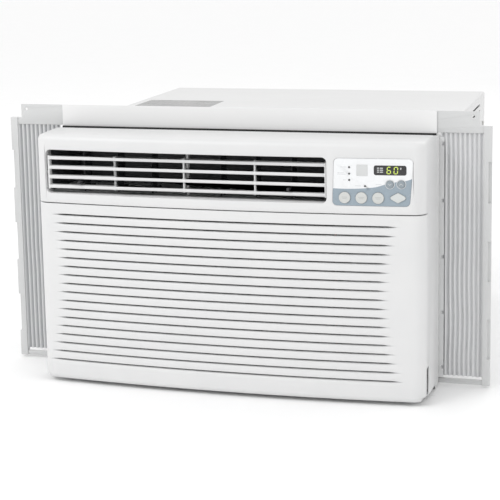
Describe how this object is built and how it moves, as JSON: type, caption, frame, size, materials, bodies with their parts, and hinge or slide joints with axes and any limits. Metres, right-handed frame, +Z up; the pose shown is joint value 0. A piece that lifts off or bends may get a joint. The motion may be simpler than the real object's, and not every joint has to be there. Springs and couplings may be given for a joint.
{
  "type": "window air conditioner",
  "caption": "White window air conditioner: bowed front with slotted inlet grille, louvred air outlet, control panel, sliding pleated side curtains and boxy cabinet.",
  "frame": {"origin": "on the sill face under the cabinet, midway across it and below the front face of the top window rail", "axes": "+X to the right seen from the room, -Y towards the room, +Z up"},
  "size_m": [0.8395, 0.7714, 0.46],
  "materials": {
    "cabinet_paint": "satin light warm grey enamel",
    "galvanised_steel": "matt galvanised sheet",
    "front_plastic": "fine matt moulded white",
    "curtain_plastic": "smooth off-white vinyl",
    "dark_plastic": "matt charcoal moulding",
    "panel_plastic": "smooth white label face with blue-grey lower part",
    "button_rubber": "soft matt pale grey",
    "power_plastic": "soft matt blue grey",
    "display_black": "gloss black window",
    "receiver_grey": "smooth pale grey window",
    "filter_net": "fine black net",
    "coil_aluminium": "thin bright fins",
    "copper": "dull copper tube",
    "compressor_black": "satin black enamel",
    "motor_steel": "brushed steel",
    "fan_plastic": "matt black moulding",
    "rubber_black": "matt rubber",
    "foam_white": "moulded polystyrene",
    "board_green": "green circuit board",
    "screw_zinc": "zinc plated"
  },
  "bodies": {
    "chassis": {"outer_cabinet": "cabinet_paint", "rear_grille": "cabinet_paint", "base_pan": "galvanised_steel", "top_window_rail": "cabinet_paint", "bottom_window_rail": "galvanised_steel", "left_side_retainer": "curtain_plastic", "right_side_retainer": "curtain_plastic", "front_bezel": "front_plastic", "cord_bush": "rubber_black", "outlet_frame": "dark_plastic", "outlet_post": "front_plastic", "outlet_duct": "foam_white", "control_panel": "panel_plastic", "display_lens": "display_black", "receiver_window": "receiver_grey", "indicator_lights": "receiver_grey", "control_board": "board_green", "evaporator_coil": "coil_aluminium", "condenser_coil": "coil_aluminium", "air_filter": "filter_net", "blower_housing": "foam_white", "bulkhead": "galvanised_steel", "fan_shroud": "galvanised_steel", "fan_motor": "motor_steel", "motor_cradle": "galvanised_steel", "compressor": "compressor_black", "compressor_mounts": "rubber_black", "accumulator": "compressor_black", "accumulator_stand": "galvanised_steel", "refrigerant_pipes": "copper", "electrical_box": "galvanised_steel", "capacitor": "motor_steel", "rear_screws": "screw_zinc", "side_screws": "screw_zinc"},
    "left_slider": {"left_curtain_frame": "curtain_plastic", "left_curtain": "curtain_plastic"},
    "right_slider": {"right_curtain_frame": "curtain_plastic", "right_curtain": "curtain_plastic"},
    "grille_door": {"inlet_grille": "front_plastic", "grille_hinge_pins": "front_plastic"},
    "deflector": {"deflector_grid": "front_plastic"},
    "fan_rotor": {"fan_shaft": "motor_steel", "blower_wheel": "fan_plastic", "condenser_fan": "fan_plastic"},
    "vane_1": {"vane_1": "dark_plastic"},
    "vane_2": {"vane_2": "dark_plastic"},
    "vane_3": {"vane_3": "dark_plastic"},
    "vane_4": {"vane_4": "dark_plastic"},
    "vane_5": {"vane_5": "dark_plastic"},
    "vane_6": {"vane_6": "dark_plastic"},
    "left_link": {"left_vane_link": "dark_plastic"},
    "right_link": {"right_vane_link": "dark_plastic"},
    "mode_button": {"mode_button": "button_rubber"},
    "fan_button": {"fan_button": "button_rubber"},
    "timer_button": {"timer_button": "button_rubber"},
    "power_button": {"power_button": "power_plastic"},
    "down_button": {"down_button": "button_rubber"},
    "up_button": {"up_button": "button_rubber"}
  },
  "joints": [
    {"name": "left_curtain_slide", "type": "slide", "parent": "chassis", "child": "left_slider", "axis": [-1, 0, 0], "range_m": [-0.045, 0.1], "deforming": ["left_curtain"]},
    {"name": "right_curtain_slide", "type": "slide", "parent": "chassis", "child": "right_slider", "axis": [1, 0, 0], "range_m": [-0.03, 0.115], "deforming": ["right_curtain"]},
    {"name": "grille_door_hinge", "type": "hinge", "parent": "chassis", "child": "grille_door", "pos_m": [0, -0.104, 0.024], "axis": [1, 0, 0], "range_deg": [0, 25]},
    {"name": "deflector_tilt", "type": "hinge", "parent": "chassis", "child": "deflector", "pos_m": [-0.0675, -0.114, 0.362], "axis": [1, 0, 0], "range_deg": [-15, 15]},
    {"name": "vane_1_turn", "type": "hinge", "parent": "chassis", "child": "vane_1", "pos_m": [-0.2479, -0.08, 0.363], "axis": [0, 0, 1], "range_deg": [-30, 30]},
    {"name": "vane_2_turn", "type": "hinge", "parent": "chassis", "child": "vane_2", "pos_m": [-0.1886, -0.08, 0.363], "axis": [0, 0, 1], "range_deg": [-30, 30]},
    {"name": "vane_3_turn", "type": "hinge", "parent": "chassis", "child": "vane_3", "pos_m": [-0.1293, -0.08, 0.363], "axis": [0, 0, 1], "range_deg": [-30, 30]},
    {"name": "left_link_pin", "type": "hinge", "parent": "vane_1", "child": "left_link", "pos_m": [-0.2479, -0.063, 0.335], "axis": [0, 0, 1], "range_deg": [-30, 30]},
    {"name": "vane_6_turn", "type": "hinge", "parent": "chassis", "child": "vane_6", "pos_m": [0.1079, -0.08, 0.363], "axis": [0, 0, 1], "range_deg": [-30, 30]},
    {"name": "vane_5_turn", "type": "hinge", "parent": "chassis", "child": "vane_5", "pos_m": [0.0486, -0.08, 0.363], "axis": [0, 0, 1], "range_deg": [-30, 30]},
    {"name": "vane_4_turn", "type": "hinge", "parent": "chassis", "child": "vane_4", "pos_m": [-0.0107, -0.08, 0.363], "axis": [0, 0, 1], "range_deg": [-30, 30]},
    {"name": "right_link_pin", "type": "hinge", "parent": "vane_6", "child": "right_link", "pos_m": [0.1079, -0.063, 0.335], "axis": [0, 0, 1], "range_deg": [-30, 30]},
    {"name": "fan_spin", "type": "hinge", "parent": "chassis", "child": "fan_rotor", "pos_m": [-0.06, 0.2, 0.19], "axis": [0, 1, 0], "continuous": true},
    {"name": "mode_button_press", "type": "slide", "parent": "chassis", "child": "mode_button", "axis": [0, 1, 0], "range_m": [0, 0.001], "stiffness_N_per_m": 300},
    {"name": "fan_button_press", "type": "slide", "parent": "chassis", "child": "fan_button", "axis": [0, 1, 0], "range_m": [0, 0.001], "stiffness_N_per_m": 300},
    {"name": "timer_button_press", "type": "slide", "parent": "chassis", "child": "timer_button", "axis": [0, 1, 0], "range_m": [0, 0.001], "stiffness_N_per_m": 300},
    {"name": "power_button_press", "type": "slide", "parent": "chassis", "child": "power_button", "axis": [0, 1, 0], "range_m": [0, 0.001], "stiffness_N_per_m": 300},
    {"name": "down_button_press", "type": "slide", "parent": "chassis", "child": "down_button", "axis": [0, 1, 0], "range_m": [0, 0.001], "stiffness_N_per_m": 300},
    {"name": "up_button_press", "type": "slide", "parent": "chassis", "child": "up_button", "axis": [0, 1, 0], "range_m": [0, 0.001], "stiffness_N_per_m": 300}
  ],
  "couplings": [
    {"joint": "vane_2_turn", "follows": "vane_1_turn", "ratio": 1},
    {"joint": "vane_3_turn", "follows": "vane_1_turn", "ratio": 1},
    {"joint": "left_link_pin", "follows": "vane_1_turn", "ratio": -1},
    {"joint": "vane_5_turn", "follows": "vane_6_turn", "ratio": 1},
    {"joint": "vane_4_turn", "follows": "vane_6_turn", "ratio": 1},
    {"joint": "right_link_pin", "follows": "vane_6_turn", "ratio": -1}
  ]
}
